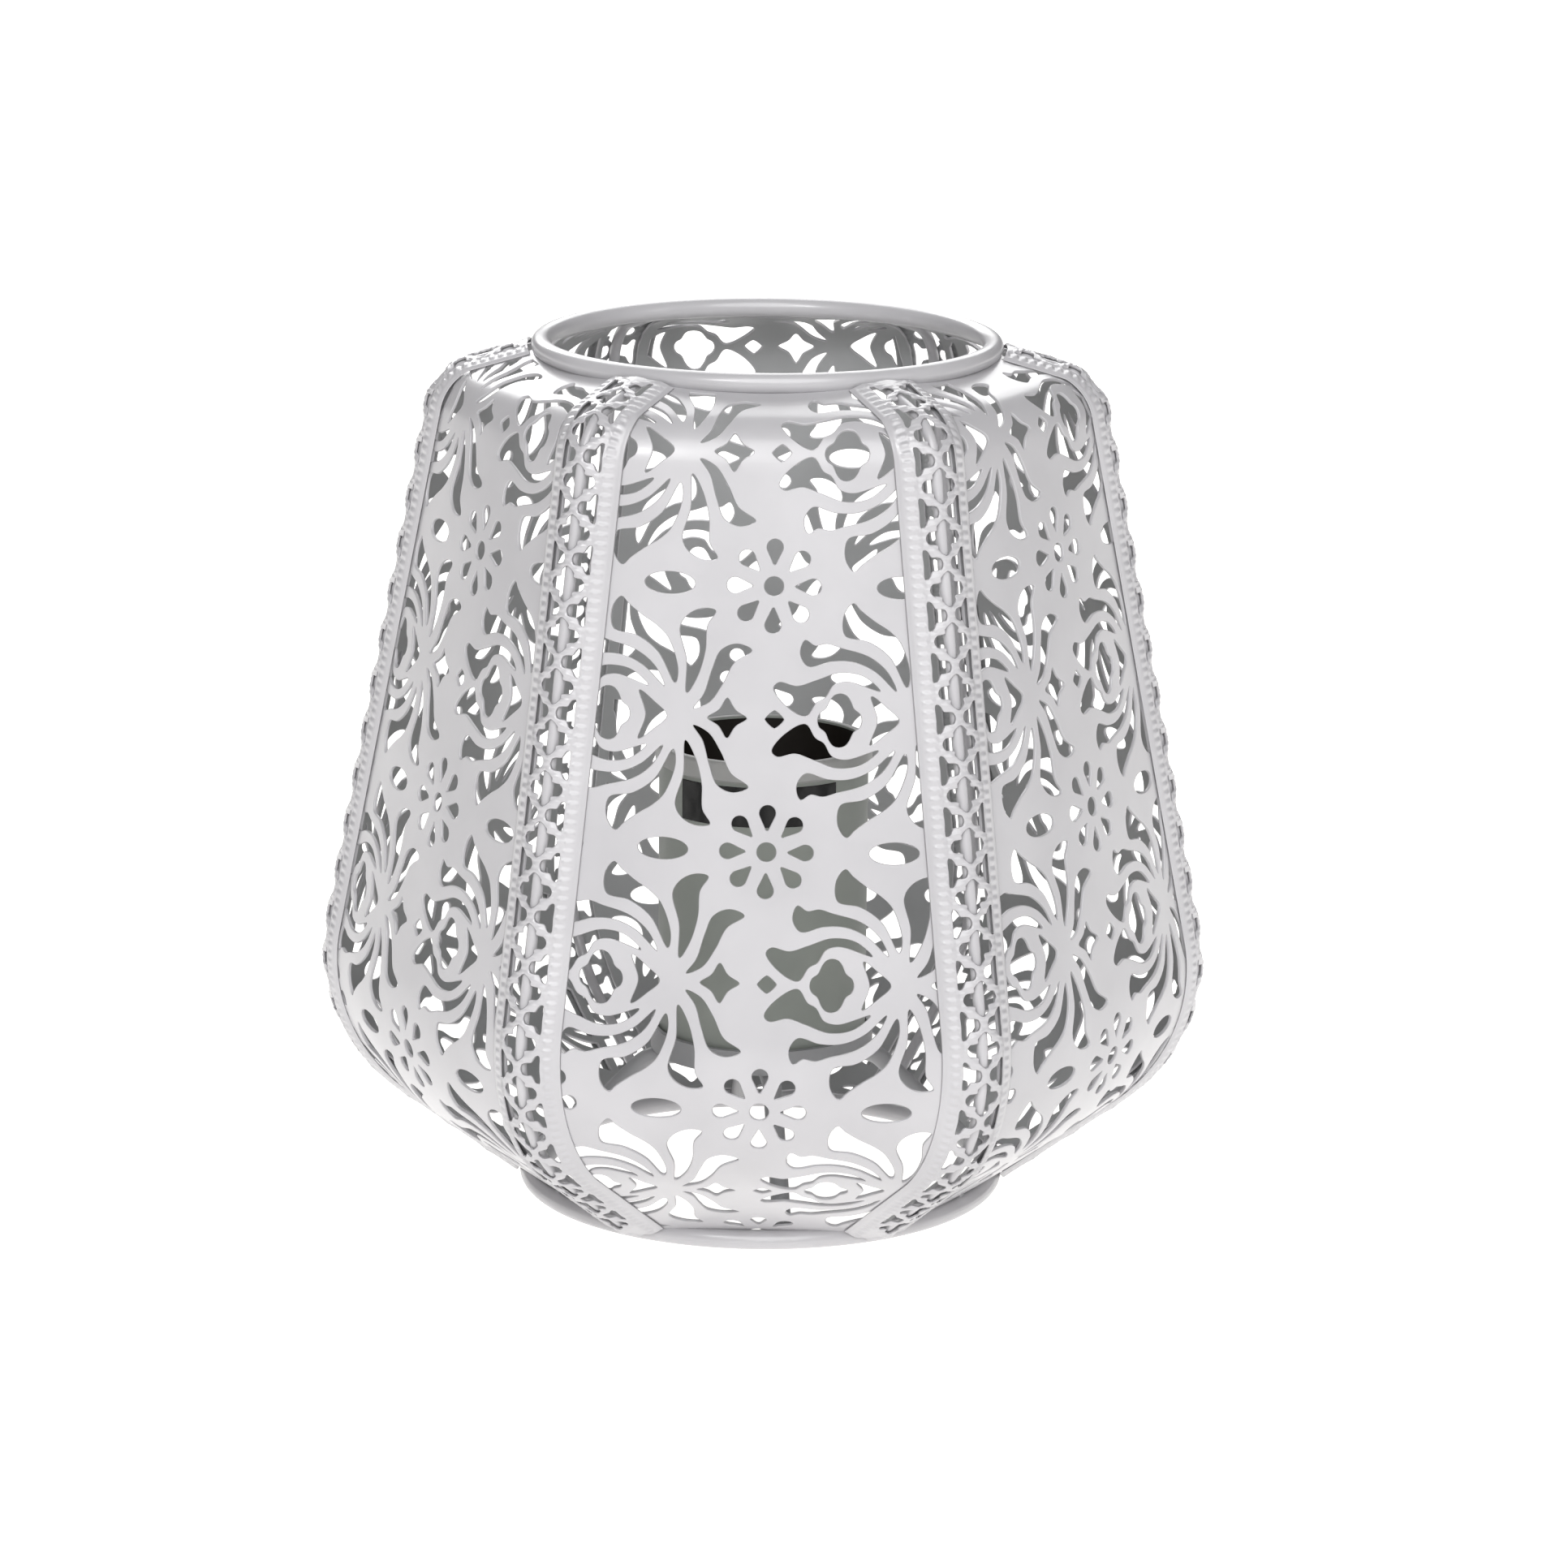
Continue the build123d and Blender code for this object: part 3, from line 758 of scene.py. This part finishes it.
def painted(name, colour, shade, roughness, peel=0.06, coat=0.0):
    """Sprayed paint: two close tones in soft clouds, uneven gloss and a fine orange peel."""
    material = bpy.data.materials.new(name)
    material.use_nodes = True
    nodes, links = material.node_tree.nodes, material.node_tree.links
    shader = nodes["Principled BSDF"]
    shader.inputs["Coat Weight"].default_value = coat
    shader.inputs["Coat Roughness"].default_value = 0.18
    coords = nodes.new("ShaderNodeTexCoord")

    ramp = nodes.new("ShaderNodeValToRGB")
    ramp.color_ramp.elements[0].position = 0.35
    ramp.color_ramp.elements[0].color = (*shade, 1)
    ramp.color_ramp.elements[1].position = 0.65
    ramp.color_ramp.elements[1].color = (*colour, 1)
    links.new(noise(nodes, links, coords, 45.0, 4.0), ramp.inputs["Fac"])
    links.new(ramp.outputs["Color"], shader.inputs["Base Color"])

    gloss = nodes.new("ShaderNodeMapRange")
    gloss.inputs["To Min"].default_value = roughness * 0.85
    gloss.inputs["To Max"].default_value = roughness * 1.2
    links.new(noise(nodes, links, coords, 160.0), gloss.inputs["Value"])
    links.new(gloss.outputs["Result"], shader.inputs["Roughness"])

    bump = nodes.new("ShaderNodeBump")
    bump.inputs["Strength"].default_value = peel
    bump.inputs["Distance"].default_value = 0.0002
    links.new(noise(nodes, links, coords, 900.0), bump.inputs["Height"])
    links.new(bump.outputs["Normal"], shader.inputs["Normal"])
    return material


def give(node, material):
    """Give a CAD node its finished material."""
    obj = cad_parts[node]
    obj.data.materials.clear()
    obj.data.materials.append(material)


# ---- floor, light and camera ---------------------------------------------------------------
FLOOR_REACH = 6.0
FLOOR_TONE = 0.5
FLOOR_GLOW = 0.94              # the floor is a light table


def make_floor():
    mesh = bpy.data.meshes.new("floor")
    r = FLOOR_REACH
    mesh.from_pydata([(-r, -r, 0), (r, -r, 0), (r, r, 0), (-r, r, 0)],
                     [], [(0, 1, 2, 3)])
    floor = bpy.data.objects.new("floor", mesh)
    bpy.context.scene.collection.objects.link(floor)
    material = bpy.data.materials.new("studio_floor")
    material.use_nodes = True
    shader = material.node_tree.nodes["Principled BSDF"]
    shader.inputs["Base Color"].default_value = (FLOOR_TONE, FLOOR_TONE, FLOOR_TONE, 1)
    shader.inputs["Roughness"].default_value = 0.9
    shader.inputs["Emission Color"].default_value = (1, 0.985, 0.96, 1)
    shader.inputs["Emission Strength"].default_value = FLOOR_GLOW
    floor.data.materials.append(material)


def softbox(name, place, size, power, target=(0, 0, 0.09)):
    lamp = bpy.data.lights.new(name, "AREA")
    lamp.shape = "RECTANGLE"
    lamp.size, lamp.size_y = size
    lamp.energy = power
    obj = bpy.data.objects.new(name, lamp)
    obj.location = place
    obj.rotation_euler = (Vector(target) - Vector(place)).to_track_quat("-Z", "Y").to_euler()
    bpy.context.scene.collection.objects.link(obj)


def wide_light(name, slope, turn, strength):
    """Large soft light far away; slope is from overhead, turn is about the upright axis."""
    lamp = bpy.data.lights.new(name, "SUN")
    lamp.energy = strength
    lamp.angle = math.radians(50)
    obj = bpy.data.objects.new(name, lamp)
    obj.rotation_euler = (math.radians(slope), 0, math.radians(turn))
    bpy.context.scene.collection.objects.link(obj)


def make_light():
    world = bpy.data.worlds.new("studio")
    world.use_nodes = True
    background = world.node_tree.nodes["Background"]
    background.inputs["Color"].default_value = (1, 1, 1, 1)
    background.inputs["Strength"].default_value = 0.06
    bpy.context.scene.world = world
    wide_light("front_light", 54, 6, 2.4)
    wide_light("back_light", 54, 186, 1.9)
    softbox("key", (-0.35, -0.9, 0.75), (0.2, 0.2), 2.2)
    softbox("side", (0.75, -0.35, 0.45), (0.1, 0.5), 0.6)
    softbox("rear", (-0.35, 0.8, 0.6), (0.2, 0.5), 1.5)
    bpy.context.scene.view_settings.view_transform = "Standard"


CAMERA_DISTANCE = 1.1898
CAMERA_HEIGHT = 0.3861
CAMERA_AZIMUTH = 1.4
CAMERA_PITCH = 14.07
CAMERA_LENS = 130.9
CAMERA_ROLL = 0.5
CAMERA_SHIFT = 0.013


def make_camera():
    camera = bpy.data.cameras.new("camera")
    camera.lens = CAMERA_LENS
    camera.sensor_width = 36.0
    camera.shift_x = CAMERA_SHIFT
    obj = bpy.data.objects.new("camera", camera)
    azimuth = math.radians(CAMERA_AZIMUTH)
    obj.location = (CAMERA_DISTANCE * math.sin(azimuth), -CAMERA_DISTANCE * math.cos(azimuth), CAMERA_HEIGHT)
    pitch, roll = math.radians(CAMERA_PITCH), math.radians(CAMERA_ROLL)
    forward = Vector((-math.sin(azimuth) * math.cos(pitch), math.cos(azimuth) * math.cos(pitch),
                      -math.sin(pitch)))
    level = forward.to_track_quat("-Z", "Y")
    obj.rotation_mode = "QUATERNION"
    obj.rotation_quaternion = level @ Quaternion((0, 0, 1), roll)
    bpy.context.scene.collection.objects.link(obj)
    bpy.context.scene.camera = obj


# ---- everything ------------------------------------------------------------------------------
white = painted("white_paint", (0.49, 0.483, 0.5), (0.45, 0.443, 0.46), 0.34, coat=0.45)
# Darker grey for the inner faces of the panels and lace strips: painted shade of the lantern's inside, on
# the same white paint.
grey = painted("inner_painted_shade", (0.36, 0.365, 0.37), (0.32, 0.324, 0.328), 0.5)
leg_grey = painted("leg_paint", (0.36, 0.36, 0.37), (0.31, 0.31, 0.32), 0.45)
cup_grey = painted("cup_grey", (0.34, 0.36, 0.33), (0.29, 0.31, 0.285), 0.38)
rim_grey = painted("rim_grey", (0.46, 0.46, 0.45), (0.40, 0.40, 0.39), 0.3)
# Near-black brown for the inside of the cup: painted shade, tinted brown.
cup_inside_painted_shade = painted("cup_inside_painted_shade", (0.012, 0.008, 0.005), (0.008, 0.005, 0.003), 0.6)
black = painted("black_gloss", (0.004, 0.004, 0.004), (0.007, 0.007, 0.007), 0.2, 0.02)

make_panels(white, grey)
make_strips(white, grey)
make_cup(cup_grey, rim_grey, cup_inside_painted_shade)
make_label(black)
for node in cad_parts:
    if node.endswith("_ring") or node.startswith("rib_wire"):
        give(node, white)
    elif node.startswith("cup_leg") or node == "saucer":
        give(node, leg_grey)
make_floor()
make_light()
make_camera()
